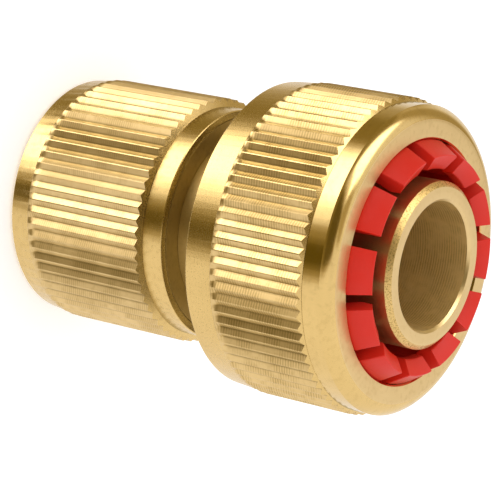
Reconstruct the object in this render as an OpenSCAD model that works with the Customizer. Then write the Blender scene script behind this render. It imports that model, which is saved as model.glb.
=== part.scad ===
// Brass hose coupling with a water stop, for 19 mm hose.
// The axis is Z. The socket end stands on the ground and the hose end points up.

/* [Stations along the axis] */
// Height of the release sleeve's lower rim above the socket face
sleeve_setback = 0.3; // [0.1:0.1:0.4]
// Length of the release sleeve
sleeve_l = 21.8; // [21:0.1:24]
// How far the sleeve pulls back to free the plug
sleeve_travel = 4; // [3:0.1:4.4]
// Open neck between the sleeve and the nut
neck_gap = 6.4; // [5.6:0.1:12]
// Length of the clamp nut
nut_l = 19; // [18.6:0.1:24]
// How far the hose tail stands out of the nut
tail_proud = 2.5; // [1:0.1:8]
// How far the collet fingers stand out of the nut
finger_proud = 2.3; // [1.6:0.1:3]

/* [Release sleeve] */
// Wall of the sleeve, from its spring's bore to the grip ridges
sleeve_wall = 1.7; // [1.6:0.05:3]
// Number of grip ridges round the sleeve
sleeve_ridges = 62; // [40:1:70]
// Length of the plain taper at the sleeve's socket end
sleeve_band_l = 2.9; // [1.5:0.1:5]
// How far the taper falls below the ridges at the sleeve's socket end
sleeve_end_drop = 0.45; // [0.2:0.05:0.7]
// Length of the plain ring at the sleeve's rear
sleeve_ring_l = 2.6; // [2:0.1:6]
// How far that ring lies below the ridges
sleeve_ring_drop = 0.95; // [0.85:0.05:1.1]
// Room for the spring between the socket body and the sleeve
spring_room = 2.15; // [2.1:0.05:2.6]

/* [Clamp nut] */
// Wall of the nut, from its thread to the grip ridges
nut_wall = 2.5; // [2.3:0.1:5]
// Number of grip ridges round the nut
nut_ridges = 80; // [50:1:90]
// Length of the plain taper at the nut's rear
nut_band_l = 3.75; // [2:0.05:6]
// How far the taper falls below the ridges at the nut's rear edge
nut_end_drop = 0.4; // [0.2:0.05:0.8]
// Length from the ridges to the nut's face
nut_rim_l = 3.3; // [2.6:0.05:5]
// How far the plain rim beside the nut's face lies below the ridges
nut_rim_drop = 0.5; // [0.3:0.05:0.7]
// Radius of the big rounding round the nut's face
nut_round_r = 2.15; // [1.6:0.05:2.4]
// Depth of that rounding along the axis
nut_round_l = 1.15; // [0.6:0.05:1.4]
// How far the mouth of the nut closes in from its thread
mouth_step = 1.725; // [1.5:0.025:1.9]

/* [Grip ridges] */
// Depth of the V grooves between the ridges
groove_depth = 0.4; // [0.25:0.05:0.7]
// Width of the flat left on each ridge
ridge_flat = 0.12; // [0.06:0.02:0.3]
// Length of the cone turned on the ridges' ends, beside the plain ring
relief_l = 0.45; // [0.3:0.05:1]
// How far that cone ends below the plain ring
relief_depth = 0.1; // [0.05:0.05:0.3]

/* [Hose tail] */
// Outer diameter of the hose tail, which fits inside the hose
tail_d = 19; // [18.4:0.1:19.6]
// Wall of the hose tail
tail_wall = 2.2; // [1.8:0.1:3]
// How much wider the bore is in front of the valve guide, on the radius
bore_step = 0.4; // [0.3:0.05:0.6]
// Length of that wider bore
bore_step_l = 3; // [2.2:0.1:4]
// Chamfer round the end of the hose tail
tail_chamfer = 0.55; // [0.2:0.05:1]
// Number of grip rings on the hose tail
barbs = 4; // [1:1:5]
// Depth of the steps between the grip rings
barb_step = 0.4; // [0.2:0.05:0.7]
// Height of the lowest grip ring above the flange
barb_start = 2.4; // [1.5:0.1:3]
// Length of the part with the grip rings
barb_l = 7.6; // [5:0.1:8]
// Wall of the neck round the joint of the two bodies
neck_wall = 0.55; // [0.5:0.05:1.4]
// Thickness of the flange that carries the clamping thread
flange_t = 3; // [2.6:0.1:4]
// Height of the cup wall above that flange
cup_l = 5.2; // [4:0.1:6]
// Wall of the cup that carries the thread
cup_wall = 2; // [1.4:0.1:2.2]

/* [Collet] */
// Number of clamping fingers
fingers = 12; // [6:2:16]
// Width of the slots between the fingers
slot_w = 1.7; // [1:0.1:2.5]
// Height of the collet's base ring
collet_base_l = 2.7; // [1.5:0.1:3.5]
// Room for the hose between the tail and the collet
hose_room = 2.6; // [2.4:0.1:3]
// Wall of the collet's base ring
collet_wall = 3.22; // [3:0.01:3.6]
// Depth of the claws at the finger tips
claw_h = 1.4; // [0.8:0.1:1.6]
// Slope of the finger tips, measured along the axis
tip_slope = 1.2; // [0.6:0.1:1.6]
// How far the finger tips lie inside the nut's mouth
tip_gap = 1.475; // [1.2:0.025:1.7]

/* [Socket body] */
// Wall of the socket body
socket_wall = 2; // [1.9:0.05:2.4]
// Bore that takes the collar of the plug
plug_bore_d = 17.2; // [16.8:0.1:17.6]
// Depth of that bore
plug_bore_l = 11.5; // [11:0.1:11.7]
// Clearance turned in that bore round the lock balls
ball_relief = 0.35; // [0.3:0.05:0.5]
// Step down to the bore in which the ring of the plug seals
seal_step = 0.7; // [0.5:0.05:1.1]
// Depth of the sealing bore
seal_bore_l = 5; // [4.9:0.1:5.6]
// Width of the ledge that is the valve's seat
seat_ledge = 3.2; // [3:0.1:3.4]
// Thickness of the valve seat
seat_t = 1.8; // [1.2:0.1:2]
// How much wider the valve chamber is than the sealing bore, on the radius
chamber_step = 0.1; // [0.05:0.05:0.3]
// Wall round the valve chamber, out to the thread that joins the two bodies
joint_wall = 1.1; // [1:0.05:1.3]
// Step from that thread out to the journal behind the spring washer
journal_step = 0.8; // [0.7:0.05:1]

/* [Lock balls] */
// Number of lock balls
balls = 4; // [4:1:4]
// Diameter of a lock ball
ball_d = 4; // [3.6:0.1:4]
// Height of the balls above the socket face
ball_z = 8.8; // [8.8:0.1:8.9]
// How far a ball moves out when the sleeve is pulled back
ball_travel = 1; // [0.8:0.05:1]

/* [Springs and seals] */
// Wire of the sleeve spring
sleeve_wire = 0.9; // [0.6:0.05:0.9]
// Turns of the sleeve spring
sleeve_turns = 5.5; // [4:0.5:6]
// Wire of the valve spring
valve_wire = 0.6; // [0.4:0.05:0.7]
// Turns of the valve spring
valve_turns = 5; // [4:0.5:6]
// Mean diameter of the valve spring
valve_spring_d = 8; // [7:0.1:10]
// Thickness of the spring washer
washer_t = 1; // [0.8:0.05:1.2]
// Section of the ring that seals the two bodies
seal_ring_w = 1.2; // [1:0.1:1.3]
// Depth of the groove for that ring
seal_groove = 0.9; // [0.8:0.05:1]
// Thickness of the retaining ring at the socket face
retainer_t = 1; // [0.8:0.05:1]
// How far the retaining ring stands out of the socket body
retainer_out = 1.3; // [1:0.05:1.5]
// How deep the retaining ring sits in the socket body
retainer_in = 0.6; // [0.4:0.05:0.8]
// Gap in the retaining ring
retainer_gap = 2.5; // [1.5:0.1:4]

/* [Water stop valve] */
// Gap round the valve disc in its chamber
disc_gap = 1.6; // [1.3:0.1:2]
// Thickness of the valve disc
disc_t = 1.5; // [1:0.1:2]
// Thickness of the rubber seal on the disc
valve_seal_t = 1.2; // [0.8:0.1:1.6]
// Diameter of the valve stem
stem_d = 3; // [2.4:0.1:3.4]
// Thickness of the guide's ring and arms
guide_t = 1.5; // [1:0.1:1.8]
// Width of the guide's ring
guide_w = 1.4; // [1.2:0.1:1.6]
// How far the stem stands out of the guide
stem_proud = 2; // [1:0.1:2.4]
// Thickness of the pusher's ring
pusher_t = 1.5; // [1:0.1:1.6]
// Width of the pusher's ring
pusher_w = 1.8; // [1.2:0.1:2.2]
// Wall of the pusher's hub
hub_wall = 1.2; // [0.8:0.1:1.4]
// Thickness of the arms and fins of the valve
fin_t = 1.2; // [0.8:0.1:1.4]

/* [Fits] */
// Sliding clearance between metal parts, on the radius
slide_fit = 0.15; // [0.1:0.01:0.2]
// Close clearance of threads and journals, on the radius
close_fit = 0.05; // [0.02:0.01:0.08]
// Clearance of the collet in the nut, on the radius
collet_fit = 0.13; // [0.1:0.01:0.2]

/* [Hidden] */
$fn = 128;

BRASS = [0.86, 0.68, 0.33];
STEEL = [0.75, 0.76, 0.78];
RED = [0.90, 0.22, 0.16];
RUBBER = [0.12, 0.12, 0.12];
GREY = [0.35, 0.36, 0.38];

// The plain bands end this much below the ridges
band_drop = 0.12;
// Small chamfer of turned edges, and the chamfer of threads and the flange
edge = 0.3;
thread_edge = 0.5;
// Small running gap along the axis
play = 0.1;

// Diameters that follow from the plug, from the inside outwards
socket_d = plug_bore_d + 2 * socket_wall;
sleeve_bore_d = socket_d + 2 * spring_room;
sleeve_d = sleeve_bore_d + 2 * sleeve_wall;
seal_bore_d = plug_bore_d - 2 * seal_step;
chamber_d = seal_bore_d + 2 * chamber_step;
joint_d = chamber_d + 2 * joint_wall;
journal_d = joint_d + 2 * journal_step;
neck_d = journal_d + 2 * close_fit + 2 * neck_wall;
seat_d = chamber_d - 2 * seat_ledge;
disc_d = chamber_d - 2 * disc_gap;
front_recess_r = socket_d / 2 + retainer_out + slide_fit;

// Diameters that follow from the hose, from the inside outwards
cone_step = 0.15;
tail_bore_d = tail_d - 2 * tail_wall;
collet_bore_d = tail_d + 2 * hose_room;
collet_r = collet_bore_d / 2 + collet_wall;
cone_r = collet_r + collet_fit;
thread_d = 2 * (cone_r + cone_step);
nut_d = thread_d + 2 * nut_wall;
mouth_r = thread_d / 2 - mouth_step;

// Stations that follow from the lengths, from the socket end upwards
lip_t = 1;
lip_z = retainer_t + 0.5;
seat_z = plug_bore_l + seal_bore_l;
chamber_z = seat_z + seat_t;
pusher_z = plug_bore_l + 0.2;
sleeve_top = sleeve_setback + sleeve_l;
washer_z = sleeve_top - washer_t + play;
body_joint_z = washer_z + washer_t;
groove_z = body_joint_z + edge;
groove_top = groove_z + seal_ring_w + 2 * play;
joint_z = groove_top + thread_edge;
nut_z = sleeve_top + neck_gap;
nut_top = nut_z + nut_l;
tail_top = nut_top + tail_proud;
finger_top = nut_top + finger_proud;
flange_z = nut_z + 0.8;
flange_top = flange_z + flange_t;
cup_top = flange_top + cup_l;
collet_z = cup_top + play;
cone_z = collet_z + collet_base_l;
guide_z = flange_top - 1.3 - guide_t;

// Cone inside the sleeve that holds the balls in, and lets them out as it is pulled back
ramp = ball_travel / sleeve_travel;
ramp_reach = ball_d / 2 * sqrt(1 + ramp * ramp) + 0.03;
ball_r = plug_bore_d / 2 - ball_travel + ball_d / 2;
land_top = ball_z + 0.3 * ball_d;
land_r = ball_r + ramp_reach - ramp * (land_top - ball_z);
ramp_z = ball_z - sleeve_travel - 0.6;
ramp_r = ball_r + ramp_reach + ramp * (ball_z - ramp_z);
land_l = 1.5;
sleeve_spring_z = land_top + land_l;

// Radius of the cone inside the nut, which closes the fingers, at a height
function cone_at(z) = cone_r - (cone_r - mouth_r) * (z - cone_z) / (nut_top - cone_z);

// A turned ring from one height to another
module turned(d_out, d_in, z0, z1) {
    rotate_extrude()
        translate([d_in / 2, z0])
            square([(d_out - d_in) / 2, z1 - z0]);
}

// Solid with straight V grooves all round, for a grip, and a cone of end radius r1 turned on its far end
module ridged(d, ridges, z0, z1, r1) {
    step = 360 / ridges;
    flat = ridge_flat / d * 180 / PI;
    outline = [for (i = [0 : ridges - 1]) each [
        [d / 2 * cos(i * step - flat), d / 2 * sin(i * step - flat)],
        [d / 2 * cos(i * step + flat), d / 2 * sin(i * step + flat)],
        [(d / 2 - groove_depth) * cos((i + 0.5) * step), (d / 2 - groove_depth) * sin((i + 0.5) * step)]]];
    clear_r = d / 2 + edge;
    rise = relief_l / (d / 2 - r1);
    intersection() {
        translate([0, 0, z0])
            linear_extrude(z1 - z0)
                polygon(outline);
        rotate_extrude()
            polygon([[0, z0 - 1], [clear_r, z0 - 1], [clear_r, z1 - rise * (clear_r - r1)],
                [r1, z1], [r1, z1 + 1], [0, z1 + 1]]);
    }
}

// Coil spring with flat closed ends, swept as a round wire
module coil(mean_d, wire, turns, z0, z1, steps, sides) {
    total = turns * steps;
    live = z1 - z0 - 3 * wire;
    function rise(t) = t < 1 ? t * wire
        : t > turns - 1 ? z1 - z0 - wire - (turns - t) * wire
        : wire + (t - 1) * live / (turns - 2);
    points = [for (i = [0 : total]) for (k = [0 : sides - 1])
        let (t = i / steps, a = t * 360, b = k * 360 / sides,
            r = mean_d / 2 + wire / 2 * cos(b))
        [r * cos(a), r * sin(a), z0 + wire / 2 + rise(t) + wire / 2 * sin(b)]];
    last = total * sides;
    sweep = [for (i = [0 : total - 1]) for (k = [0 : sides - 1])
        let (a = i * sides + k, b = i * sides + (k + 1) % sides)
        [a, b, b + sides, a + sides]];
    polyhedron(points, concat([[for (k = [sides - 1 : -1 : 0]) k]], sweep,
        [[for (k = [0 : sides - 1]) last + k]]), convexity = 6);
}

module release_sleeve() {
    ridge_z = sleeve_setback + sleeve_band_l;
    ring_z = sleeve_top - sleeve_ring_l;
    crest_r = sleeve_d / 2;
    end_r = crest_r - sleeve_end_drop;
    ring_r = crest_r - sleeve_ring_drop;
    relief_r = ring_r - relief_depth;
    core_r = relief_r - edge;
    body_r = socket_d / 2 + slide_fit;
    color(BRASS)
        difference() {
            union() {
                ridged(sleeve_d, sleeve_ridges, ridge_z, ring_z, relief_r);
                rotate_extrude()
                    polygon([[0, sleeve_setback], [end_r - edge, sleeve_setback],
                        [end_r, sleeve_setback + edge], [crest_r - band_drop, ridge_z],
                        [core_r, ridge_z], [core_r, ring_z], [ring_r, ring_z],
                        [ring_r, sleeve_top - edge], [ring_r - edge, sleeve_top], [0, sleeve_top]]);
            }
            rotate_extrude()
                polygon([[0, 0], [front_recess_r, 0], [front_recess_r, lip_z], [body_r, lip_z],
                    [body_r, lip_z + lip_t], [ramp_r, lip_z + lip_t], [ramp_r, ramp_z],
                    [land_r, land_top], [land_r, sleeve_spring_z], [sleeve_bore_d / 2, sleeve_spring_z],
                    [sleeve_bore_d / 2, sleeve_top + 1], [0, sleeve_top + 1]]);
        }
}

module front_ring() {
    color(STEEL)
        difference() {
            turned(socket_d + 2 * retainer_out, socket_d - 2 * retainer_in, lip_z - retainer_t, lip_z);
            translate([0, -retainer_gap / 2, 0])
                cube([socket_d, retainer_gap, 2 * lip_z]);
        }
}

module sleeve_spring() {
    color(STEEL)
        coil((socket_d + sleeve_bore_d) / 2, sleeve_wire, sleeve_turns, sleeve_spring_z, washer_z, 20, 8);
}

module spring_washer() {
    color(BRASS)
        turned(sleeve_bore_d - 2 * slide_fit, journal_d + 2 * close_fit, washer_z, body_joint_z);
}

// Hole for a ball, closed in at the bore so that the ball can't fall through
module ball_hole() {
    wide_r = ball_d / 2 + close_fit;
    inner = 0.3 * ball_d;
    translate([0, 0, ball_z])
        rotate([0, 90, 0]) {
            translate([0, 0, ball_r])
                cylinder(h = socket_d, r = wide_r);
            translate([0, 0, ball_r - inner])
                cylinder(h = inner, r1 = wide_r - 0.06 * ball_d, r2 = wide_r);
        }
}

module socket_body() {
    lead = 0.6;
    outer_r = socket_d / 2;
    ring_r = outer_r - retainer_in - close_fit;
    relief_r = plug_bore_d / 2 + ball_relief;
    relief_z = ball_z - 0.6 * ball_d;
    color(BRASS)
        difference() {
            rotate_extrude()
                polygon([[plug_bore_d / 2 + lead, 0], [outer_r - edge, 0], [outer_r, edge],
                    [outer_r, lip_z - retainer_t], [ring_r, lip_z - retainer_t], [ring_r, lip_z],
                    [outer_r, lip_z], [outer_r, washer_z], [journal_d / 2, washer_z],
                    [journal_d / 2, groove_z], [journal_d / 2 - seal_groove, groove_z],
                    [journal_d / 2 - seal_groove, groove_top], [journal_d / 2, groove_top],
                    [journal_d / 2, joint_z], [joint_d / 2, joint_z], [joint_d / 2, guide_z],
                    [chamber_d / 2, guide_z], [chamber_d / 2, chamber_z], [seat_d / 2, chamber_z],
                    [seat_d / 2, seat_z], [seal_bore_d / 2, seat_z],
                    [seal_bore_d / 2, plug_bore_l + ball_relief], [plug_bore_d / 2, plug_bore_l],
                    [relief_r, plug_bore_l - ball_relief], [relief_r, relief_z + ball_relief],
                    [plug_bore_d / 2, relief_z], [plug_bore_d / 2, lead]]);
            for (i = [0 : balls - 1])
                rotate([0, 0, i * 360 / balls])
                    ball_hole();
        }
}

module lock_ball(i) {
    color(STEEL)
        rotate([0, 0, i * 360 / balls])
            translate([ball_r, 0, ball_z])
                sphere(d = ball_d);
}

// The ring is drawn as it lies pressed in its groove
module body_seal() {
    squeezed = 0.63 * seal_ring_w;
    color(RUBBER)
        rotate_extrude()
            translate([journal_d / 2 - seal_groove + squeezed / 2 + 0.03, (groove_z + groove_top) / 2])
                circle(d = squeezed, $fn = 32);
}

module valve_pusher() {
    ring_r = seal_bore_d / 2 - 0.5;
    color(GREY)
        difference() {
            union() {
                turned(2 * ring_r, 2 * (ring_r - pusher_w), pusher_z, pusher_z + pusher_t);
                translate([0, 0, pusher_z])
                    cylinder(h = pusher_t + 1, d = stem_d + 2 * hub_wall);
                for (a = [0, 60, 120])
                    rotate([0, 0, a])
                        translate([pusher_w / 2 - ring_r, -fin_t / 2, pusher_z])
                            cube([2 * ring_r - pusher_w, fin_t, pusher_t]);
            }
            translate([0, 0, pusher_z + 0.5])
                cylinder(h = seat_z, d = stem_d + 2 * close_fit);
        }
}

module valve_plunger() {
    stem_z = pusher_z + 0.6;
    seal_top = chamber_z + valve_seal_t;
    fin_z = pusher_z + pusher_t + 1.2;
    fin_r = seat_d / 2 - slide_fit;
    color(GREY) {
        translate([0, 0, stem_z])
            cylinder(h = guide_z + guide_t + stem_proud - stem_z, d = stem_d);
        for (a = [0, 90])
            rotate([0, 0, a])
                translate([-fin_r, -fin_t / 2, fin_z])
                    cube([2 * fin_r, fin_t, seal_top - fin_z]);
        translate([0, 0, seal_top])
            cylinder(h = disc_t, d = disc_d);
    }
}

module valve_seal() {
    color(RUBBER)
        turned(disc_d - 0.4, seat_d, chamber_z, chamber_z + valve_seal_t);
}

module valve_spring() {
    color(STEEL)
        coil(valve_spring_d, valve_wire, valve_turns, chamber_z + valve_seal_t + disc_t, guide_z, 16, 8);
}

module valve_guide() {
    arm_r = joint_d / 2 - guide_w / 2;
    color(GREY)
        difference() {
            union() {
                turned(joint_d, joint_d - 2 * guide_w, guide_z, guide_z + guide_t);
                translate([0, 0, guide_z])
                    cylinder(h = guide_t, d = valve_spring_d + 2 * valve_wire);
                for (a = [0, 90])
                    rotate([0, 0, a])
                        translate([-arm_r, -fin_t / 2, guide_z])
                            cube([2 * arm_r, fin_t, guide_t]);
            }
            translate([0, 0, guide_z - 1])
                cylinder(h = guide_t + 2, d = stem_d + 2 * close_fit);
        }
}

module tail_body() {
    shell_z = joint_z + edge;
    cup_r = thread_d / 2 - cup_wall;
    fillet = 0.6;
    barb_z = flange_top + barb_start;
    pitch = barb_l / barbs;
    joint_r = joint_d / 2 + close_fit;
    guide_top = guide_z + guide_t;
    outside = [[neck_d / 2, body_joint_z], [neck_d / 2, flange_z - fillet],
        [neck_d / 2 + fillet, flange_z], [thread_d / 2 - thread_edge, flange_z],
        [thread_d / 2, flange_z + thread_edge], [thread_d / 2, cup_top - thread_edge],
        [thread_d / 2 - thread_edge, cup_top], [cup_r, cup_top], [cup_r, flange_top],
        [tail_d / 2, flange_top]];
    grip = [for (i = [0 : barbs - 1]) each [[tail_d / 2, barb_z + i * pitch],
        [tail_d / 2 - barb_step, barb_z + i * pitch + 0.01]]];
    inside = [[tail_d / 2, barb_z + barb_l], [tail_d / 2, tail_top - tail_chamfer],
        [tail_d / 2 - tail_chamfer, tail_top], [tail_bore_d / 2 + edge, tail_top],
        [tail_bore_d / 2, tail_top - edge], [tail_bore_d / 2, guide_top + bore_step_l],
        [tail_bore_d / 2 + bore_step, guide_top + bore_step_l],
        [tail_bore_d / 2 + bore_step, guide_top], [joint_r, guide_top], [joint_r, shell_z],
        [journal_d / 2 + close_fit, shell_z], [journal_d / 2 + close_fit, body_joint_z]];
    color(BRASS)
        rotate_extrude()
            polygon(concat(outside, grip, inside));
}

module clamp_nut() {
    ridge_z = nut_z + nut_band_l;
    ring_z = nut_top - nut_rim_l;
    crest_r = nut_d / 2;
    end_r = crest_r - nut_end_drop;
    rim_r = crest_r - nut_rim_drop;
    relief_r = rim_r - relief_depth;
    core_r = relief_r - edge;
    round_z = nut_top - nut_round_l;
    face_r = rim_r - sqrt(nut_round_l * (2 * nut_round_r - nut_round_l));
    bore_r = thread_d / 2 + close_fit;
    color(BRASS)
        difference() {
            union() {
                ridged(nut_d, nut_ridges, ridge_z, ring_z, relief_r);
                rotate_extrude() {
                    polygon([[0, nut_z], [end_r - edge, nut_z], [end_r, nut_z + edge],
                        [crest_r - band_drop, ridge_z], [core_r, ridge_z], [core_r, ring_z], [rim_r, ring_z],
                        [rim_r, round_z], [face_r, round_z], [face_r, nut_top], [0, nut_top]]);
                    intersection() {
                        translate([face_r, nut_top - nut_round_r])
                            circle(r = nut_round_r);
                        translate([0, round_z])
                            square([rim_r, nut_round_l]);
                    }
                }
            }
            rotate_extrude()
                polygon([[0, nut_z - 1], [bore_r + thread_edge, nut_z - 1], [bore_r + thread_edge, nut_z],
                    [bore_r, nut_z + thread_edge], [bore_r, cone_z - edge], [cone_r, cone_z],
                    [mouth_r, nut_top - 0.2], [mouth_r + 0.2, nut_top], [mouth_r + 0.2, nut_top + 1],
                    [0, nut_top + 1]]);
        }
}

module collet() {
    bore_r = collet_bore_d / 2;
    claw_r = bore_r - claw_h;
    claw_z = nut_top - play;
    color(RED)
        difference() {
            rotate_extrude()
                polygon([[bore_r, collet_z], [collet_r, collet_z], [collet_r, cone_z],
                    [cone_at(nut_top) - collet_fit, nut_top], [mouth_r - tip_gap, finger_top],
                    [claw_r, finger_top - tip_slope], [claw_r, claw_z], [bore_r, claw_z - claw_h]]);
            for (i = [0 : fingers / 2 - 1])
                rotate([0, 0, (i + 0.5) * 360 / fingers])
                    translate([-nut_d / 2, -slot_w / 2, cone_z])
                        cube([nut_d, slot_w, nut_l]);
        }
}

socket_body();
tail_body();
release_sleeve();
clamp_nut();
collet();
front_ring();
sleeve_spring();
spring_washer();
lock_ball(0);  // lock_ball_1
lock_ball(1);  // lock_ball_2
lock_ball(2);  // lock_ball_3
lock_ball(3);  // lock_ball_4
valve_pusher();
valve_plunger();
valve_seal();
valve_spring();
valve_guide();
body_seal();
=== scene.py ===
import math

import bmesh
import bpy
from mathutils import Matrix, Vector


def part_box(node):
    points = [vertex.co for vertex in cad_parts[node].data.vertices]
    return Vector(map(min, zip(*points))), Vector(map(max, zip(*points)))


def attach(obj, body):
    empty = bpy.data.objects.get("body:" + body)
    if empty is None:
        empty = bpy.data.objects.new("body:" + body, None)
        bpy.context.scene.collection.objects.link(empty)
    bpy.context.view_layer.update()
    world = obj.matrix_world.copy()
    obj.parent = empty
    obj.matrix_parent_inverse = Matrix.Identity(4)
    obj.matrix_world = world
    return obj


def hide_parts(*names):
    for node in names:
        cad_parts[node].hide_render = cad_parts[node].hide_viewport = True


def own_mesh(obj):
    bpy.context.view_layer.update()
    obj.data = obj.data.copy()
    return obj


bl_info = {
    "name": "Brass hose connector",
    "version": (1, 1, 0),
    "blender": (4, 5, 0),
    "location": "View3D > Sidebar > Connector",
    "description": "Dresses the packed hose connector in turned brass, red plastic and steel",
    "category": "Object",
}

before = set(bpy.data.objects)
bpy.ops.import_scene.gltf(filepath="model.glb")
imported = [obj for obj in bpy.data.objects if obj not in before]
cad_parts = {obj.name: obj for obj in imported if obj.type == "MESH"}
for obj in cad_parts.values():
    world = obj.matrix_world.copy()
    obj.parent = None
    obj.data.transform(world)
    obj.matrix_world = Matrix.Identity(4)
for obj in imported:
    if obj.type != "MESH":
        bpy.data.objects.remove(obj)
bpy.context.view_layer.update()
MM = 0.001

# The shapes below are in millimetres from the axis and above the socket face, as the CAD part is.
SLEEVE_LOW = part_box("release_sleeve")[0].z / MM
SLEEVE_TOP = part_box("release_sleeve")[1].z / MM
SLEEVE_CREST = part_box("release_sleeve")[1].x / MM
NUT_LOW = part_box("clamp_nut")[0].z / MM
NUT_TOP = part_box("clamp_nut")[1].z / MM
NUT_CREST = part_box("clamp_nut")[1].x / MM
TAIL_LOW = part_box("tail_body")[0].z / MM
TAIL_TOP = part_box("tail_body")[1].z / MM
COLLET_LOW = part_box("collet")[0].z / MM
TIP_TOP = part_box("collet")[1].z / MM
SPRING_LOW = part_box("sleeve_spring")[0].z / MM
SPRING_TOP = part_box("sleeve_spring")[1].z / MM
VALVE_SPRING_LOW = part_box("valve_spring")[0].z / MM
VALVE_SPRING_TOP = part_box("valve_spring")[1].z / MM


# Modelling: a profile is drawn point by point, rounded at its corners, and spun about the axis.

def fresh_start():
    if bpy.context.object is not None and bpy.context.object.mode != "OBJECT":
        bpy.ops.object.mode_set(mode="OBJECT")
    bpy.ops.object.select_all(action="DESELECT")


def take(piece):
    """Makes the piece the only selected and the active object."""
    fresh_start()
    piece.select_set(True)
    bpy.context.view_layer.objects.active = piece
    return piece


def rounded(points, radius, steps=4):
    """A closed profile with every real corner rounded. A point is (r, z) or (r, z, own radius)."""
    out = []
    count = len(points)
    for i, point in enumerate(points):
        here = Vector(point[:2])
        before = Vector(points[i - 1][:2]) - here
        after = Vector(points[(i + 1) % count][:2]) - here
        size = point[2] if len(point) > 2 else radius
        corner = before.angle(after)
        if size <= 0 or corner > math.radians(165):
            out.append(here)
            continue
        back = min(size / math.tan(corner / 2), 0.45 * before.length, 0.45 * after.length)
        size = back * math.tan(corner / 2)
        middle = (before.normalized() + after.normalized()).normalized()
        centre = here + middle * (size / math.sin(corner / 2))
        first = here + before.normalized() * back - centre
        last = here + after.normalized() * back - centre
        sweep = first.angle_signed(last)
        for k in range(steps + 1):
            out.append(centre + first @ Matrix.Rotation(sweep * k / steps, 2))
    return out


def draw_path(name, points):
    """Extrudes one vertex along points in space and stays in edit mode."""
    fresh_start()
    bpy.ops.mesh.primitive_plane_add(size=MM)
    piece = bpy.context.object
    piece.name = piece.data.name = name
    bpy.ops.object.mode_set(mode="EDIT")
    bpy.ops.mesh.merge(type="CENTER")
    bpy.ops.transform.translate(value=Vector(points[0]) * MM)
    for a, b in zip(points, points[1:]):
        step = (Vector(b) - Vector(a)) * MM
        bpy.ops.mesh.extrude_vertices_move(TRANSFORM_OT_translate={"value": step})
    return piece


def draw_profile(name, points, closed=True):
    """Draws a profile of (r, z) points in the XZ plane and stays in edit mode."""
    piece = draw_path(name, [(p[0], 0, p[1]) for p in points])
    if closed:
        ends = [v for v in bmesh.from_edit_mesh(piece.data).verts if len(v.link_edges) == 1]
        pick(piece, lambda v: v in ends)
        bpy.ops.mesh.edge_face_add()
    return piece


def pick(piece, wanted):
    """Selects the vertices for which wanted is true, and what lies between them, in edit mode."""
    mesh = bmesh.from_edit_mesh(piece.data)
    mesh.select_mode = {"VERT"}
    for v in mesh.verts:
        v.select = bool(wanted(v))
    mesh.select_flush_mode()
    bmesh.update_edit_mesh(piece.data)


def spin_selected(steps, angle=math.tau):
    """Spins the selection about the axis, and merges the seam."""
    bpy.ops.mesh.spin(steps=steps, angle=angle, center=(0, 0, 0), axis=(0, 0, 1))
    bpy.ops.mesh.select_all(action="SELECT")
    bpy.ops.mesh.remove_doubles(threshold=0.0005 * MM)
    bpy.ops.mesh.normals_make_consistent(inside=False)


def spin_up(piece, steps):
    """Spins the profile all round and leaves edit mode."""
    bpy.ops.mesh.select_all(action="SELECT")
    spin_selected(steps)
    bpy.ops.object.mode_set(mode="OBJECT")
    return piece


def shade(piece, angle=25):
    """Smooth shading with crisp edges: flat faces stay flat and the roundings between them carry the light."""
    take(piece)
    bpy.ops.object.shade_smooth_by_angle(angle=math.radians(angle))
    weighted = piece.modifiers.new("weighted", "WEIGHTED_NORMAL")
    weighted.keep_sharp = True
    bpy.ops.object.modifier_apply(modifier="weighted")
    return piece


def settle(piece, body, slot, *nodes):
    """Applies the piece's place, hands it to its body and hides the nodes it stands for. Its slot is not used."""
    take(piece)
    bpy.ops.object.transform_apply(location=True, rotation=True, scale=True)
    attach(piece, body)
    if nodes:
        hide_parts(*nodes)
    return piece


def turn_selected(angle):
    """Turns the selection about the axis. With no window the operator turns the other way."""
    bpy.ops.transform.rotate(value=-angle, orient_axis="Z", center_override=(0, 0, 0))


def scale_selected(factor):
    bpy.ops.transform.resize(value=(factor, factor, 1), center_override=(0, 0, 0))


COLUMNS = 8


def cut_ridges(piece, ridges, crest_r, depth, flat, low, high, run_out, cone):
    """Cuts V grooves in a spun piece that has COLUMNS columns to each ridge, between two rows at the crests.

    The grooves run out at the low end, where the rows between low and run_out lie, and end on a cone at the
    high end, which rises by cone for each millimetre towards the axis."""
    pitch = math.tau / ridges
    crest = flat / 2 / crest_r / pitch
    # Share of the pitch at which each column stands, and how deep in the groove it lies
    valley = 0.035
    places = [0, crest, 0.25 + crest / 2, 0.5 - valley, 0.5, 0.5 + valley, 0.75 - crest / 2, 1 - crest]
    full = depth / (0.5 - crest)
    sink = [0, 0, full * (places[2] - crest), full * (places[3] - crest) * 0.985, depth, 0, 0, 0]
    sink[5], sink[6] = sink[3], sink[2]
    take(piece)
    bpy.ops.object.mode_set(mode="EDIT")
    mesh = bmesh.from_edit_mesh(piece.data)
    column, row = {}, {}
    for v in mesh.verts:
        turn = math.atan2(v.co.y, v.co.x) / math.tau * ridges * COLUMNS
        column[v.index] = round(turn) % COLUMNS
        z = v.co.z / MM
        if math.hypot(v.co.x, v.co.y) / MM > crest_r - 0.25 and low - 0.001 < z < high + 0.001:
            row[v.index] = round(z, 3)
    for k in range(1, COLUMNS):
        pick(piece, lambda v: column[v.index] == k)
        turn_selected((places[k] - k / COLUMNS) * pitch)
        if not sink[k]:
            continue
        for z in sorted(set(row.values())):
            share = min(1, (z - low) / (run_out - low))
            share = math.sin(share * math.pi / 2)
            if share <= 0:
                continue
            pick(piece, lambda v: column[v.index] == k and row.get(v.index) == z)
            scale_selected((crest_r - sink[k] * share) / crest_r)
            if z == round(high, 3):
                bpy.ops.transform.translate(value=(0, 0, sink[k] * cone * MM))
    bpy.ops.object.mode_set(mode="OBJECT")
    return piece


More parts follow.
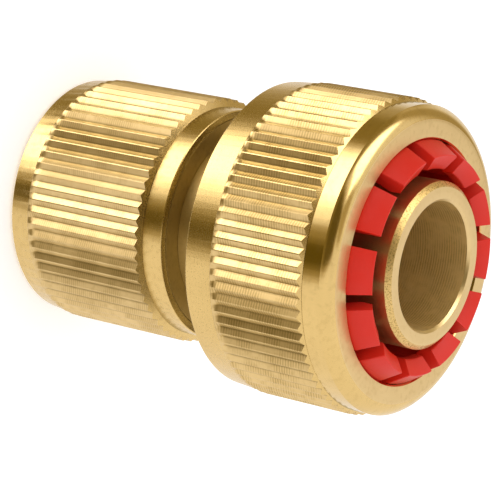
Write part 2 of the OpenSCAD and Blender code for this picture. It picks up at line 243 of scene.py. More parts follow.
# Materials. Effects that several finishes share are node groups, and the shaders stay in the material.

class Nodes:
    """A short way to lay out a node tree."""

    def __init__(self, tree):
        self.tree = tree

    def add(self, kind, settings=None, **links):
        node = self.tree.nodes.new(kind)
        for key, value in (settings or {}).items():
            setattr(node, key, value)
        for key, value in links.items():
            self.set(node, key.replace("_", " "), value)
        return node

    def set(self, node, socket, value):
        numbered = socket[0] == "i" and socket[1:].isdigit()
        target = node.inputs[int(socket[1:])] if numbered else node.inputs[socket]
        if isinstance(value, bpy.types.NodeSocket):
            self.tree.links.new(value, target)
        else:
            target.default_value = value

    def math(self, operation, a, b=0.0, c=0.0):
        return self.add("ShaderNodeMath", {"operation": operation}, i0=a, i1=b, i2=c).outputs[0]

    def mix(self, factor, a, b, blend="MIX"):
        node = self.add("ShaderNodeMix", {"data_type": "RGBA", "blend_type": blend})
        self.set(node, "i0", factor)
        self.set(node, "i6", a)
        self.set(node, "i7", b)
        return node.outputs[2]

    def noise(self, vector, scale, detail=2.0, roughness=0.5):
        node = self.add("ShaderNodeTexNoise", Vector=vector, Scale=scale, Detail=detail, Roughness=roughness)
        return node.outputs[0]

    def remap(self, value, a, b, c=0.0, d=1.0, smooth=False):
        kind = "SMOOTHSTEP" if smooth else "LINEAR"
        node = self.add("ShaderNodeMapRange", {"interpolation_type": kind}, Value=value)
        for key, number in (("From Min", a), ("From Max", b), ("To Min", c), ("To Max", d)):
            node.inputs[key].default_value = number
        return node.outputs[0]

    def span(self, value, ends, soft):
        """1 where the value lies between two ends and 0 outside, with soft edges."""
        after = self.remap(value, ends[0] - soft, ends[0] + soft, smooth=True)
        before = self.remap(value, ends[1] - soft, ends[1] + soft, smooth=True)
        return self.math("MULTIPLY", after, self.math("SUBTRACT", 1.0, before))


def new_group(name, inputs, outputs):
    """An empty node group with float inputs (a dict of defaults, plus Vector) and float outputs."""
    group = bpy.data.node_groups.new(name, "ShaderNodeTree")
    group.interface.new_socket("Vector", in_out="INPUT", socket_type="NodeSocketVector")
    for key, value in inputs.items():
        socket = group.interface.new_socket(key, in_out="INPUT", socket_type="NodeSocketFloat")
        socket.default_value = value
    for key in outputs:
        group.interface.new_socket(key, in_out="OUTPUT", socket_type="NodeSocketFloat")
    nodes = Nodes(group)
    return group, nodes, nodes.add("NodeGroupInput"), nodes.add("NodeGroupOutput")


def lathe_lines():
    """Fine lines that a turning tool leaves round the axis, with no seam."""
    group, n, start, end = new_group("lathe_lines", {"Lines": 9000.0, "Along": 0.6}, ("Fine", "Broad"))
    xyz = n.add("ShaderNodeSeparateXYZ", Vector=start.outputs["Vector"])
    x, y, z = xyz.outputs
    flat = n.add("ShaderNodeCombineXYZ", X=x, Y=y, Z=0.0).outputs[0]
    length = n.add("ShaderNodeVectorMath", {"operation": "LENGTH"}, i0=flat).outputs["Value"]
    across = n.math("MULTIPLY", n.math("ADD", z, n.math("MULTIPLY", length, 1.37)), start.outputs["Lines"])
    unit = n.add("ShaderNodeVectorMath", {"operation": "NORMALIZE"}, i0=flat).outputs[0]
    round_it = n.add("ShaderNodeVectorMath", {"operation": "SCALE"}, i0=unit,
                     Scale=start.outputs["Along"]).outputs[0]
    place = n.add("ShaderNodeVectorMath", {"operation": "ADD"}, i0=round_it,
                  i1=n.add("ShaderNodeCombineXYZ", Z=across).outputs[0]).outputs[0]
    n.set(end, "Fine", n.noise(place, 1.0, 3.0, 0.65))
    n.set(end, "Broad", n.noise(place, 0.16, 2.0, 0.5))
    return group


def tool_chatter():
    """Regular short marks that the cutter leaves across the ridges, in patches. Pitch is in metres."""
    group, n, start, end = new_group("tool_chatter", {"Pitch": 0.00034, "Cover": 0.5}, ("Marks", "Where"))
    vector = start.outputs["Vector"]
    z = n.add("ShaderNodeSeparateXYZ", Vector=vector).outputs[2]
    wobble = n.math("MULTIPLY", n.noise(vector, 900.0, 1.0, 0.5), 2.4)
    phase = n.math("ADD", n.math("MULTIPLY", n.math("DIVIDE", z, start.outputs["Pitch"]), math.tau), wobble)
    wave = n.math("MULTIPLY_ADD", n.math("SINE", phase), 0.5, 0.5)
    patch = n.noise(vector, 330.0, 2.0, 0.55)
    where = n.remap(n.math("ADD", patch, n.math("MULTIPLY", start.outputs["Cover"], 0.3)), 0.56, 0.72)
    n.set(end, "Marks", n.math("MULTIPLY", wave, where))
    n.set(end, "Where", where)
    return group


def speckle():
    """Small tarnish spots and cloudy staining."""
    group, n, start, end = new_group("speckle", {"Size": 1500.0}, ("Spots", "Clouds", "Grain"))
    vector = start.outputs["Vector"]
    spots = n.noise(vector, start.outputs["Size"], 3.0, 0.6)
    n.set(end, "Spots", n.remap(spots, 0.5, 0.66))
    n.set(end, "Clouds", n.remap(n.noise(vector, 170.0, 3.0, 0.55), 0.35, 0.7))
    n.set(end, "Grain", n.noise(vector, 7000.0, 2.0, 0.6))
    return group


def new_material(name):
    material = bpy.data.materials.new(name)
    material.use_nodes = True
    n = Nodes(material.node_tree)
    shader = material.node_tree.nodes["Principled BSDF"]
    place = n.add("ShaderNodeTexCoord").outputs["Object"]
    return material, n, shader, place


def use_group(n, group, place, **values):
    return n.add("ShaderNodeGroup", {"node_tree": group}, Vector=place, **values)


def brass_finish(name, groups, finish, lines=9000.0, bump=0.12, rough=(0.22, 0.32), chatter=0.0, pitch=0.34,
                 dull_and_shade=0.0, spots=0.12, size=1500.0, grain=0.3, anisotropic=0.75, paler=0.0, grooves=(0.0, 0.0),
                 seen=0.62, metal=1.0):
    """Turned brass: a warm metal with lathe lines, spots of tarnish and, on the ridges, chatter marks.

    Grooves are the radii, in millimetres, between which the ridges' valleys lie, which are painted dark brown there:
    painted shade.
    Seen is how bright the brass is painted where other brass mirrors it: painted shade on its reflections, darker and
    paler than its own colour."""
    material, n, shader, place = new_material(name)
    turned = use_group(n, groups["lathe_lines"], place, Lines=lines)
    stain = use_group(n, groups["speckle"], place, Size=size)
    # Paler lifts the brass towards white; on the tail's end face this is painted light.
    light = [c + (1 - c) * paler for c in finish.brass] + [1.0]
    dark = list(finish.brass_dark) + [1.0]
    # This offset darkens the whole surface towards the dark brass colour: painted shade on inner and hidden parts.
    tone = n.math("MULTIPLY_ADD", stain.outputs["Clouds"], 0.14, dull_and_shade)
    tone = n.math("MULTIPLY_ADD", stain.outputs["Spots"], spots, tone)
    tone = n.math("MULTIPLY_ADD", turned.outputs["Broad"], 0.16, tone)
    height = n.math("MULTIPLY_ADD", turned.outputs["Fine"], 0.7, n.math("MULTIPLY", stain.outputs["Grain"], grain))
    if chatter:
        marks = use_group(n, groups["tool_chatter"], place, Pitch=pitch * MM)
        tone = n.math("MULTIPLY_ADD", marks.outputs["Marks"], chatter, tone)
        height = n.math("MULTIPLY_ADD", marks.outputs["Marks"], 0.5, height)
    colour = n.mix(n.math("MINIMUM", tone, 1.0), light, dark)
    # Painted shade: the colour turns dark brown towards the bottom of the ridges' valleys, between the radii in
    # grooves.
    if grooves[1]:
        x, y, z = n.add("ShaderNodeSeparateXYZ", Vector=place).outputs
        flat = n.add("ShaderNodeCombineXYZ", X=x, Y=y, Z=0.0).outputs[0]
        radius = n.add("ShaderNodeVectorMath", {"operation": "LENGTH"}, i0=flat).outputs["Value"]
        valley_shade = n.remap(radius, grooves[0] * MM, grooves[1] * MM, 0.55, 0.0)
        colour = n.mix(valley_shade, colour, (0.2, 0.12, 0.03, 1))
    # Painted reflection shade: for glossy rays the colour is multiplied by seen, so brass mirrored in other brass is
    # painted darker and paler.
    path = n.add("ShaderNodeLightPath")
    mirrored = n.mix(1.0, colour, (seen, seen * 1.22, seen * 1.5, 1), "MULTIPLY")
    n.set(shader, "Base Color", n.mix(path.outputs["Is Glossy Ray"], colour, mirrored))
    shader.inputs["Metallic"].default_value = metal
    shader.inputs["Specular IOR Level"].default_value = 0.5 * metal
    shader.inputs["Anisotropic"].default_value = anisotropic
    shader.inputs["Anisotropic Rotation"].default_value = 0.25
    tangent = n.add("ShaderNodeTangent", {"direction_type": "RADIAL", "axis": "Z"})
    n.set(shader, "Tangent", tangent.outputs[0])
    wear = n.math("MULTIPLY_ADD", turned.outputs["Fine"], 0.6, n.math("MULTIPLY", stain.outputs["Spots"], 0.4))
    n.set(shader, "Roughness", n.remap(wear, 0.1, 0.8, rough[0], rough[1]))
    bumped = n.add("ShaderNodeBump", Strength=bump, Distance=0.00002, Height=height)
    n.set(shader, "Normal", bumped.outputs[0])
    return material


def plastic_finish(name, groups, colour, rough=0.4, grain=0.15):
    """Moulded plastic with a faint grain."""
    material, n, shader, place = new_material(name)
    stain = use_group(n, groups["speckle"], place, Size=2600.0)
    base = list(colour) + [1.0]
    paler = [min(1.0, c * 0.92 + 0.03) for c in colour] + [1.0]
    n.set(shader, "Base Color", n.mix(n.math("MULTIPLY", stain.outputs["Clouds"], 0.5), base, paler))
    n.set(shader, "Roughness", n.remap(stain.outputs["Clouds"], 0.0, 1.0, rough - 0.05, rough + 0.06))
    shader.inputs["Specular IOR Level"].default_value = 0.28
    bumped = n.add("ShaderNodeBump", Strength=grain, Distance=0.00003, Height=stain.outputs["Spots"])
    n.set(shader, "Normal", bumped.outputs[0])
    return material


def steel_finish(name, groups, finish):
    material, n, shader, place = new_material(name)
    turned = use_group(n, groups["lathe_lines"], place, Lines=12000.0)
    colour = list(finish.steel) + [1.0]
    darker = [0.42, 0.42, 0.43, 1]
    n.set(shader, "Base Color", n.mix(n.math("MULTIPLY", turned.outputs["Broad"], 0.35), colour, darker))
    shader.inputs["Metallic"].default_value = 1.0
    n.set(shader, "Roughness", n.remap(turned.outputs["Fine"], 0.0, 1.0, 0.14, 0.3))
    return material


def paint(piece, *materials):
    """Puts these materials in the piece's slots, in place of what is there."""
    piece.data.materials.clear()
    for material in materials:
        piece.data.materials.append(material)


def paint_where(piece, slot, wanted):
    """Gives the faces for which wanted(r, z of the middle) is true another material slot."""
    for face in piece.data.polygons:
        c = face.center / MM
        if wanted(math.hypot(c.x, c.y), c.z):
            face.material_index = slot


# Settings that a user would change

class FinishSettings(bpy.types.PropertyGroup):
    brass: bpy.props.FloatVectorProperty(name="Brass", description="Colour of clean brass", subtype="COLOR",
                                         default=(0.88, 0.605, 0.235), min=0, max=1)
    # The tarnished colour is also the one the painted shade of the darker brass finishes goes towards.
    brass_dark: bpy.props.FloatVectorProperty(name="Tarnished brass", description="Colour of dull spots",
                                              subtype="COLOR", default=(0.42, 0.26, 0.07), min=0, max=1)
    plastic: bpy.props.FloatVectorProperty(name="Collet", description="Colour of the collet's plastic",
                                           subtype="COLOR", default=(0.72, 0.018, 0.005), min=0, max=1)
    valve: bpy.props.FloatVectorProperty(name="Valve", description="Colour of the valve's plastic",
                                         subtype="COLOR", default=(0.10, 0.105, 0.115), min=0, max=1)
    steel: bpy.props.FloatVectorProperty(name="Steel", description="Colour of springs, balls and rings",
                                         subtype="COLOR", default=(0.62, 0.62, 0.63), min=0, max=1)


class SleeveSettings(bpy.types.PropertyGroup):
    ridges: bpy.props.IntProperty(name="Ridges", description="Grip ridges round the sleeve", default=62, min=20,
                                  max=90)
    depth: bpy.props.FloatProperty(name="Groove depth", description="Depth of the V grooves", default=0.4 * MM,
                                   min=0.2 * MM, max=0.7 * MM, unit="LENGTH")
    flat: bpy.props.FloatProperty(name="Ridge flat", description="Width left on each ridge", default=0.12 * MM,
                                  min=0.05 * MM, max=0.4 * MM, unit="LENGTH")


class NutSettings(bpy.types.PropertyGroup):
    ridges: bpy.props.IntProperty(name="Ridges", description="Grip ridges round the nut", default=80, min=20,
                                  max=120)
    depth: bpy.props.FloatProperty(name="Groove depth", description="Depth of the V grooves", default=0.4 * MM,
                                   min=0.2 * MM, max=0.55 * MM, unit="LENGTH")
    flat: bpy.props.FloatProperty(name="Ridge flat", description="Width left on each ridge", default=0.12 * MM,
                                  min=0.05 * MM, max=0.4 * MM, unit="LENGTH")


class StageSettings(bpy.types.PropertyGroup):
    floor: bpy.props.FloatVectorProperty(name="Floor", description="Colour of the table top", subtype="COLOR",
                                         default=(0.86, 0.86, 0.86), min=0, max=1)
    lens: bpy.props.FloatProperty(name="Lens", description="Focal length of the camera in millimetres",
                                  default=187.2, min=50, max=400)


def materials(context):
    """The finishes, made once and kept by name."""
    if "brass_turned" not in bpy.data.materials:
        finish = context.scene.connector_finish
        groups = {"lathe_lines": lathe_lines(), "tool_chatter": tool_chatter(), "speckle": speckle()}
        brass_finish("brass_turned", groups, finish)
        brass_finish("brass_band", groups, finish, bump=0.5, grain=0.5, size=5000.0, spots=0.12)
        brass_finish("brass_polished", groups, finish, bump=0.06, rough=(0.13, 0.2), anisotropic=0.5)
        brass_finish("brass_sleeve_ridges", groups, finish, lines=4000.0, chatter=0.35, pitch=0.3, anisotropic=0.0,
                     rough=(0.32, 0.42), paler=0.08, seen=0.85,
                     grooves=(14.05, 14.17))
        brass_finish("brass_nut_ridges", groups, finish, lines=4000.0, chatter=0.5, pitch=0.34, anisotropic=0.0,
                     rough=(0.3, 0.4), paler=0.06, seen=0.8,
                     grooves=(17.7, 17.82))
        # The next finish is a darker, rougher copy of the brass: its darker colour is painted shade, for bores,
        # threads, the tail's neck and the washer.
        brass_finish("brass_dull", groups, finish, bump=0.2, rough=(0.34, 0.48), dull_and_shade=0.25, anisotropic=0.4)
        brass_finish("brass_face", groups, finish, bump=0.3, rough=(0.3, 0.42), paler=0.08, anisotropic=0.4)
        # The tail's end face is painted paler than the nut's face: painted light.
        brass_finish("brass_cut_end", groups, finish, bump=0.3, rough=(0.3, 0.4), paler=0.1,
                     spots=0.05, anisotropic=0.4)
        brass_finish("brass_rough", groups, finish, bump=1.0, grain=1.0, rough=(0.3, 0.5), spots=1.0, size=6000.0,
                     anisotropic=0.2)
        brass_finish("brass_bore", groups, finish, lines=3000.0, bump=1.0, rough=(0.34, 0.48), dull_and_shade=0.05,
                     chatter=0.45, pitch=0.32, anisotropic=0.3, seen=1.0, metal=0.6)
        plastic_finish("collet_plastic", groups, finish.plastic)
        plastic_finish("valve_plastic", groups, finish.valve, rough=0.5)
        plastic_finish("black_rubber", groups, (0.02, 0.02, 0.021), rough=0.62, grain=0.3)
        steel_finish("bright_steel", groups, finish)
    return bpy.data.materials


class CONNECTOR_OT_sleeve(bpy.types.Operator):
    """Turns the release sleeve and cuts its grip ridges"""
    bl_idname = "connector.sleeve"
    bl_label = "Release sleeve"

    def execute(self, context):
        s = context.scene.connector_sleeve
        low, top, crest = SLEEVE_LOW, SLEEVE_TOP, SLEEVE_CREST
        band, crest_low, run_out = low + 2.9, low + 3.02, low + 3.9
        crest_end, ring_z, ring = top - 3.05, top - 2.6, crest - 0.95
        profile = rounded([
            (crest - 0.75, low, 0.06), (crest - 0.45, low + 0.3, 0.1), (crest - 0.12, band, 0),
            (crest, crest_low, 0), (crest, crest_low + 0.16, 0), (crest, crest_low + 0.34, 0),
            (crest, crest_low + 0.58, 0), (crest, run_out, 0), (crest, crest_end, 0),
            (ring - 0.1, ring_z, 0), (ring, ring_z + 0.02, 0), (ring, top - 0.1, 0.06), (ring - 0.1, top, 0.06),
            (12.63, top, 0.03), (12.63, top - 0.3, 0), (12.75, top - 0.3, 0), (12.75, 11.5, 0), (11.392, 11.5, 0), (11.392, 10, 0.1), (12.842, 4.2, 0),
            (12.842, 2.5, 0), (10.75, 2.5, 0.08), (10.75, 1.5, 0.08), (12.05, 1.5, 0), (12.05, low, 0.12)], 0.05)
        piece = draw_profile("sleeve_shell", profile)
        spin_up(piece, s.ridges * COLUMNS)
        cut_ridges(piece, s.ridges, crest, s.depth / MM, s.flat / MM, band, crest_end, run_out,
                   (ring_z - crest_end) / (crest - ring + 0.1))
        shade(piece)
        m = materials(context)
        paint(piece, m["brass_turned"], m["brass_sleeve_ridges"], m["brass_dull"])
        paint_where(piece, 1, lambda r, z: band < z < crest_end and r > crest - 1)
        paint_where(piece, 2, lambda r, z: r < 12.86)
        settle(piece, "sleeve", "brass", "release_sleeve")
        return {"FINISHED"}


def helix_tooth(name, base_r, crest_r, low, high, pitch, base_w, crest_w, steps=96):
    """One thread ridge, swept along a helix, with both ends sunk into the wall it stands on."""
    sink = 0.08 if crest_r > base_r else -0.08
    points = [(base_r - sink, -base_w / 2), (crest_r, -crest_w / 2), (crest_r, crest_w / 2),
              (base_r - sink, base_w / 2)]
    piece = draw_profile(name, [(r, z + low + base_w / 2) for r, z in points])
    bpy.ops.object.mode_set(mode="OBJECT")
    turns = (high - low - base_w) / pitch
    screw = piece.modifiers.new("helix", "SCREW")
    screw.axis = "Z"
    screw.angle = math.tau * turns
    screw.screw_offset = pitch * turns * MM
    screw.steps = screw.render_steps = int(steps * turns)
    screw.use_merge_vertices = False
    bpy.ops.object.modifier_apply(modifier="helix")
    bpy.ops.object.mode_set(mode="EDIT")
    mesh = bmesh.from_edit_mesh(piece.data)
    rows = {v.index: v.index // 4 for v in mesh.verts}
    last = max(rows.values())
    run_in = int(steps / 8)
    for k in range(run_in):
        share = k / run_in
        radius = base_r - sink + (crest_r - base_r + sink) * share
        for row in (k, last - k):
            pick(piece, lambda v: rows[v.index] == row and abs(math.hypot(v.co.x, v.co.y) / MM - crest_r) < 0.01)
            scale_selected(radius / crest_r)
    for row in (0, last):
        pick(piece, lambda v: rows[v.index] == row)
        bpy.ops.mesh.edge_face_add()
    bpy.ops.mesh.select_all(action="SELECT")
    bpy.ops.mesh.normals_make_consistent(inside=False)
    bpy.ops.object.mode_set(mode="OBJECT")
    bpy.ops.object.shade_smooth_by_angle(angle=math.radians(35))
    return piece


class CONNECTOR_OT_nut(bpy.types.Operator):
    """Turns the clamp nut, cuts its grip ridges and its thread"""
    bl_idname = "connector.nut"
    bl_label = "Clamp nut"

    def execute(self, context):
        s = context.scene.connector_nut
        low, top, crest = NUT_LOW, NUT_TOP, NUT_CREST
        band, crest_low, run_out = low + 3.75, low + 3.87, low + 4.75
        crest_end, ring_z, rim = top - 3.75, top - 3.3, crest - 0.5
        # The rounding's circle, which meets the rim at a crisp edge and the face smoothly
        centre_r, centre_z, radius = 15.697, top - 2.15, 2.15
        start = math.asin(1 / radius)
        shoulder = [(centre_r + radius * math.cos(a), centre_z + radius * math.sin(a), 0)
                    for a in (start + (math.pi / 2 - start) * k / 12 for k in range(13))]
        profile = rounded([
            (16.2, low, 0.1), (crest - 0.7, low, 0.06), (crest - 0.4, low + 0.3, 0.1), (crest - 0.12, band, 0),
            (crest, crest_low, 0), (crest, crest_low + 0.16, 0), (crest, crest_low + 0.34, 0),
            (crest, crest_low + 0.58, 0), (crest, run_out, 0), (crest, crest_end, 0),
            (rim - 0.1, ring_z, 0), (rim, ring_z + 0.02, 0)]
            + shoulder + [(14.075, top, 0.06), (13.875, top - 0.2, 0.06), (15.45, 40.3, 0), (15.65, 40.0, 0),
                          (16.05, 39.6, 0), (16.05, low + 0.9, 0)], 0.05)
        piece = draw_profile("nut_shell", profile)
        spin_up(piece, s.ridges * COLUMNS)
        cut_ridges(piece, s.ridges, crest, s.depth / MM, s.flat / MM, band, crest_end, run_out,
                   (ring_z - crest_end) / (crest - rim + 0.1))
        shade(piece, 20)
        m = materials(context)
        paint(piece, m["brass_band"], m["brass_nut_ridges"], m["brass_dull"], m["brass_polished"], m["brass_face"])
        paint_where(piece, 1, lambda r, z: band < z < crest_end and r > crest - 1)
        paint_where(piece, 3, lambda r, z: z > ring_z)
        paint_where(piece, 4, lambda r, z: z > top - 0.04)
        paint_where(piece, 2, lambda r, z: r < 16.06 and z < top - 0.3)
        settle(piece, "nut", "brass", "clamp_nut")
        thread = helix_tooth("nut_thread", 16.05, 15.66, low + 0.9, 39.6, 2.0, 1.2, 0.3)
        paint(thread, m["brass_dull"])
        settle(thread, "nut", "brass")
        return {"FINISHED"}


class CONNECTOR_OT_tail(bpy.types.Operator):
    """Turns the hose tail with its neck, its threaded cup and its grip rings"""
    bl_idname = "connector.tail"
    bl_label = "Hose tail"

    def execute(self, context):
        low, top = TAIL_LOW, TAIL_TOP
        flange, cup_top, neck = 29.3, 37.5, 10.5
        points = [(neck, low, 0.06), (neck, flange - 0.6, 0.4), (neck + 0.6, flange, 0.1), (14.8, flange, 0.1),
                  (15.2, flange + 0.5, 0.05), (15.2, cup_top - 0.5, 0.05), (14.8, cup_top, 0.08),
                  (13.6, cup_top, 0.08), (13.6, 32.3, 0.3), (9.5, 32.3, 0.3)]
        for i in range(4):
            z = 34.7 + 1.9 * i
            points += [(9.5, z, 0), (9.1, z + 0.01, 0)]
        points += [(9.5, 42.3, 0.1), (9.5, top - 0.55, 0.05), (8.95, top, 0.05), (7.6, top, 0.04),
                   (7.3, top - 0.3, 0.04), (7.3, 34.0, 0), (7.7, 34.0, 0), (7.7, 31.0, 0), (9.15, 31.0, 0),
                   (9.15, 24.7, 0), (9.95, 24.7, 0), (9.95, low, 0.05)]
        piece = draw_profile("tail_shell", rounded(points, 0.05))
        spin_up(piece, 256)
        shade(piece)
        m = materials(context)
        paint(piece, m["brass_cut_end"], m["brass_dull"], m["brass_rough"], m["brass_bore"])
        # The tail below its end face takes the darker brass: painted shade on the neck in the gap between sleeve and
        # nut.
        paint_where(piece, 1, lambda r, z: z < top - 0.5)
        paint_where(piece, 2, lambda r, z: z > top - 0.6 and r > 8.9)
        paint_where(piece, 3, lambda r, z: z < top - 0.32 and r < 7.8)
        settle(piece, "body", "brass", "tail_body")
        thread = helix_tooth("tail_thread", 15.2, 15.58, flange + 0.5, cup_top - 0.5, 2.0, 1.2, 0.3)
        paint(thread, m["brass_dull"])
        settle(thread, "body", "brass")
        return {"FINISHED"}


class CONNECTOR_OT_collet(bpy.types.Operator):
    """Models the collet: a base ring and its slotted clamping fingers"""
    bl_idname = "connector.collet"
    bl_label = "Collet"

    def execute(self, context):
        count, gap = 12, 1.7
        low, tip = COLLET_LOW, TIP_TOP
        base_top = low + 2.7
        foot = base_top - 0.3
        outline = [(12.12, foot), (15.28, foot), (15.28, base_top), (13.745, NUT_TOP), (12.4, tip), (10.7, tip - 1.2),
                   (10.7, NUT_TOP - 0.1), (12.12, NUT_TOP - 1.5)]
        finger = draw_profile("collet_shell", outline)
        bpy.ops.mesh.select_all(action="SELECT")
        bpy.ops.mesh.edge_face_add()
        spin_selected(32, math.radians(40))
        turns = [math.atan2(v.co.y, v.co.x) for v in bmesh.from_edit_mesh(finger.data).verts]
        turn_selected(-(min(turns) + max(turns)) / 2)
        edge_turn = math.pi / count
        for side in (-1, 1):
            normal = Vector((-math.sin(side * edge_turn), math.cos(side * edge_turn), 0)) * side
            bpy.ops.mesh.select_all(action="SELECT")
            bpy.ops.mesh.bisect(plane_co=-normal * (gap / 2) * MM, plane_no=normal, use_fill=True, clear_outer=True)
        bpy.ops.mesh.select_all(action="SELECT")
        bpy.ops.mesh.remove_doubles(threshold=0.0005 * MM)
        bpy.ops.mesh.normals_make_consistent(inside=False)
        if len(bmesh.from_edit_mesh(finger.data).faces) < 100:
            raise RuntimeError("the collet's finger is lost in the cuts")
        bpy.ops.object.mode_set(mode="OBJECT")
        bevel = finger.modifiers.new("edges", "BEVEL")
        bevel.width = 0.22 * MM
        bevel.segments = 3
        bevel.limit_method = "ANGLE"
        bevel.angle_limit = math.radians(25)
        bpy.ops.object.modifier_apply(modifier="edges")
        bpy.ops.object.mode_set(mode="EDIT")
        bpy.ops.mesh.select_all(action="SELECT")
        for k in range(1, count):
            bpy.ops.mesh.duplicate()
            turn_selected(math.tau / count)
        bpy.ops.object.mode_set(mode="OBJECT")
        base = [(12.1, low), (15.32, low), (15.32, base_top), (12.1, base_top)]
        ring = draw_profile("collet_base", rounded(base, 0.2))
        spin_up(ring, 128)
        take(finger)
        ring.select_set(True)
        bpy.ops.object.join()
        shade(finger)
        paint(finger, materials(context)["collet_plastic"])
        settle(finger, "collet", "red_plastic", "collet")
        return {"FINISHED"}


def coil(name, mean_d, wire, turns, low, high, steps=40):
    """A coil spring with closed ends: its path is drawn, given a round section and made a mesh."""
    live = high - low - 3 * wire
    points = []
    for i in range(int(turns * steps) + 1):
        t = i / steps
        rise = wire + (t - 1) * live / (turns - 2)
        if t < 1:
            rise = t * wire
        if t > turns - 1:
            rise = high - low - wire - (turns - t) * wire
        a = math.tau * t
        points.append((mean_d / 2 * math.cos(a), mean_d / 2 * math.sin(a), low + wire / 2 + rise))
    piece = draw_path(name, points)
    bpy.ops.object.mode_set(mode="OBJECT")
    bpy.ops.object.convert(target="CURVE")
    piece = bpy.context.object
    piece.data.bevel_depth = wire / 2 * 0.995 * MM
    piece.data.bevel_resolution = 3
    piece.data.use_fill_caps = True
    bpy.ops.object.convert(target="MESH")
    bpy.ops.object.shade_smooth_by_angle(angle=math.radians(50))
    return bpy.context.object


class CONNECTOR_OT_springs(bpy.types.Operator):
    """Winds the sleeve spring and the valve spring"""
    bl_idname = "connector.springs"
    bl_label = "Springs"

    def execute(self, context):
        m = materials(context)
        for body, node, joint, mean_d, wire, turns, low, high, keep in (
                ("spring", "sleeve_spring", "sleeve_slide", 23.35, 0.9, 5.5, SPRING_LOW, SPRING_TOP, 0.588),
                ("valve", "valve_spring", "valve_slide", 8, 0.6, 5, VALVE_SPRING_LOW, VALVE_SPRING_TOP, 0.624)):
            piece = coil(node + "_wire", mean_d, wire, turns, low, high)
            paint(piece, m["bright_steel"])
            settle(piece, body, "steel", node)
            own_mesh(piece)
        return {"FINISHED"}


class CONNECTOR_OT_balls(bpy.types.Operator):
    """Models one lock ball and places its copies"""
    bl_idname = "connector.balls"
    bl_label = "Lock balls"

    def execute(self, context):
        m = materials(context)
        for i in range(1, 5):
            low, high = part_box("lock_ball_%d" % i)
            fresh_start()
            bpy.ops.mesh.primitive_uv_sphere_add(segments=48, ring_count=24, radius=(high.z - low.z) / 2,
                                                 location=(low + high) / 2)
            piece = bpy.context.object
            piece.name = piece.data.name = "ball_%d" % i
            bpy.ops.object.shade_smooth()
            paint(piece, m["bright_steel"])
            settle(piece, "ball_%d" % i, "steel", "lock_ball_%d" % i)
        return {"FINISHED"}


class CONNECTOR_OT_fittings(bpy.types.Operator):
    """Gives the small inner parts, which keep their CAD shapes, their finishes"""
    bl_idname = "connector.fittings"
    bl_label = "Inner parts"

    def execute(self, context):
        m = materials(context)
        # The washer between sleeve and neck takes the darker brass: painted shade in that gap.
        finishes = {"brass_turned": ["socket_body"], "brass_dull": ["spring_washer"], "bright_steel": ["front_ring"],
                    "valve_plastic": ["valve_pusher", "valve_plunger", "valve_guide"],
                    "black_rubber": ["valve_seal", "body_seal"]}
        for finish, names in finishes.items():
            for name in names:
                paint(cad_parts[name], m[finish])
        return {"FINISHED"}


# The studio that the brass mirrors, as cards round the object. Each has a span of directions round the axis
# from the camera's side, a span of heights above the horizon, how soft its edges are, all in degrees, and how
# bright it is. A later card lies over the earlier ones, and the room behind them is nearly white.
ROOM = 0.9
CARDS = [
    ("far wall", (30, 175), (-90, 75), 9, 0.98),
    ("shaded wall", (-140, -76), (-90, 4), 12, 0.45),
    ("shaded corner", (-116, -80), (-90, 2), 9, 0.26),
    ("low window", (-75, -15), (-90, 2), 8, 1.5),
    ("low window's middle", (-68, -30), (-90, -6), 8, 3.4),
    ("low flag's edge", (-12, 28), (-90, 2), 6, 0.35),
    ("low flag", (0, 20), (-90, 2), 5, 0.12),
    ("table's far edge", (-114, 18), (4, 31), 6, 0.28),
    ("dark corner", (-172, -112), (6, 32), 7, 0.42),
    ("high window", (-124, -62), (33, 68), 6, 3.4),
    ("high flag", (-46, 22), (28, 80), 8, 0.12),
    ("ceiling", (-178, -50), (68, 90), 5, 0.45),
]
CAMERA_SIDE = math.radians(-100.3)


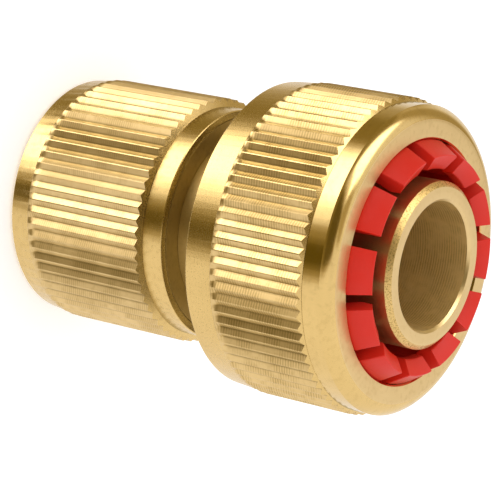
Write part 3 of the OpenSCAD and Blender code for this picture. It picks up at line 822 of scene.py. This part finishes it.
class CONNECTOR_OT_stage(bpy.types.Operator):
    """Sets up the table top, the studio light and the camera"""
    bl_idname = "connector.stage"
    bl_label = "Stage"

    def execute(self, context):
        s = context.scene.connector_stage
        scene = context.scene
        fresh_start()
        bpy.ops.mesh.primitive_circle_add(vertices=96, radius=3.0, fill_type="NGON")
        floor = context.object
        floor.name = "table_top"
        material, n, shader, place = new_material("table_top")
        shader.inputs["Base Color"].default_value = list(s.floor) + [1.0]
        shader.inputs["Roughness"].default_value = 0.9
        light_path = n.add("ShaderNodeLightPath")
        seen = n.math("MAXIMUM", light_path.outputs["Is Camera Ray"],
                      n.math("MAXIMUM", light_path.outputs["Is Glossy Ray"],
                             light_path.outputs["Is Transmission Ray"]))
        glow = n.add("ShaderNodeEmission", Color=(1, 1, 1, 1), Strength=n.math("MULTIPLY", seen, 0.35))
        both = n.add("ShaderNodeAddShader", i0=shader.outputs[0], i1=glow.outputs[0])
        output = material.node_tree.nodes["Material Output"]
        n.set(output, "Surface", both.outputs[0])
        paint(floor, material)
        floor.visible_glossy = False
        self.light(scene)

        camera_data = bpy.data.cameras.new("camera")
        camera = bpy.data.objects.new("camera", camera_data)
        scene.collection.objects.link(camera)
        right = Vector((-0.10516, 0.57381, 0.81221))
        up = Vector((-0.98332, 0.06189, -0.17104))
        back = right.cross(up)
        turned = Matrix((right, up, back)).transposed().to_4x4()
        camera.matrix_world = Matrix.Translation((-0.0423, -0.24642, 0.1934)) @ turned
        camera_data.lens = s.lens
        camera_data.sensor_width = 36
        camera_data.clip_start = 0.01
        scene.camera = camera
        scene.view_settings.view_transform = "Standard"
        return {"FINISHED"}

    def light(self, scene):
        """The world: white for the camera, soft and even for matt surfaces, and a studio's cards for shiny ones."""
        world = bpy.data.worlds.new("studio")
        scene.world = world
        world.use_nodes = True
        w = Nodes(world.node_tree)
        nodes = world.node_tree.nodes
        direction = w.add("ShaderNodeTexCoord").outputs["Generated"]
        turned = w.add("ShaderNodeVectorRotate", {"rotation_type": "Z_AXIS"}, Vector=direction)
        turned.inputs["Angle"].default_value = -CAMERA_SIDE
        x, y, z = w.add("ShaderNodeSeparateXYZ", Vector=turned.outputs[0]).outputs
        around = w.math("DEGREES", w.math("ARCTAN2", y, x))
        rise = w.math("DEGREES", w.math("ARCSINE", w.math("MINIMUM", w.math("MAXIMUM", z, -1.0), 1.0)))
        level = ROOM
        for name, sides, heights, soft, bright in CARDS:
            card = w.math("MULTIPLY", w.span(around, sides, soft), w.span(rise, heights, soft))
            card.node.label = name
            room = w.math("MULTIPLY", w.math("SUBTRACT", 1.0, card), level)
            level = w.math("MULTIPLY_ADD", card, bright, room)
        warm = w.mix(w.remap(level, 0.12, 0.9), (1.0, 0.74, 0.08, 1), (1, 1, 1, 1))
        mirrored = nodes["Background"]
        w.set(mirrored, "Color", warm)
        w.set(mirrored, "Strength", level)
        white = w.add("ShaderNodeBackground", Color=(1, 1, 1, 1), Strength=1.0)
        soft = w.add("ShaderNodeBackground", Color=(1, 1, 1, 1), Strength=w.remap(z, -0.4, 1.0, 0.8, 1.15))
        path = w.add("ShaderNodeLightPath")
        shiny = w.math("MAXIMUM", path.outputs["Is Glossy Ray"], path.outputs["Is Transmission Ray"])
        lit = w.add("ShaderNodeMixShader", i0=shiny, i1=soft.outputs[0], i2=mirrored.outputs[0])
        mixed = w.add("ShaderNodeMixShader", i0=path.outputs["Is Camera Ray"], i1=lit.outputs[0], i2=white.outputs[0])
        w.set(nodes["World Output"], "Surface", mixed.outputs[0])


class CONNECTOR_PT_panel(bpy.types.Panel):
    """The connector's steps in the 3D view's sidebar"""
    bl_idname = "CONNECTOR_PT_panel"
    bl_label = "Brass hose connector"
    bl_space_type = "VIEW_3D"
    bl_region_type = "UI"
    bl_category = "Connector"

    def draw(self, context):
        for step in STEPS:
            self.layout.operator(step.bl_idname)
        for group in SETTINGS:
            settings = getattr(context.scene, group)
            for key in settings.bl_rna.properties.keys():
                if key not in ("rna_type", "name"):
                    self.layout.prop(settings, key)


STEPS = (CONNECTOR_OT_sleeve, CONNECTOR_OT_nut, CONNECTOR_OT_tail, CONNECTOR_OT_collet, CONNECTOR_OT_springs,
         CONNECTOR_OT_balls, CONNECTOR_OT_fittings, CONNECTOR_OT_stage)
SETTINGS = {"connector_finish": FinishSettings, "connector_sleeve": SleeveSettings, "connector_nut": NutSettings,
            "connector_stage": StageSettings}
CLASSES = (*SETTINGS.values(), *STEPS, CONNECTOR_PT_panel)


def register():
    for cls in CLASSES:
        bpy.utils.register_class(cls)
    for name, cls in SETTINGS.items():
        setattr(bpy.types.Scene, name, bpy.props.PointerProperty(type=cls))


def unregister():
    for name in SETTINGS:
        delattr(bpy.types.Scene, name)
    for cls in reversed(CLASSES):
        bpy.utils.unregister_class(cls)


def main():
    register()
    for step in STEPS:
        group, name = step.bl_idname.split(".")
        getattr(getattr(bpy.ops, group), name)()


if __name__ == "__main__":
    main()
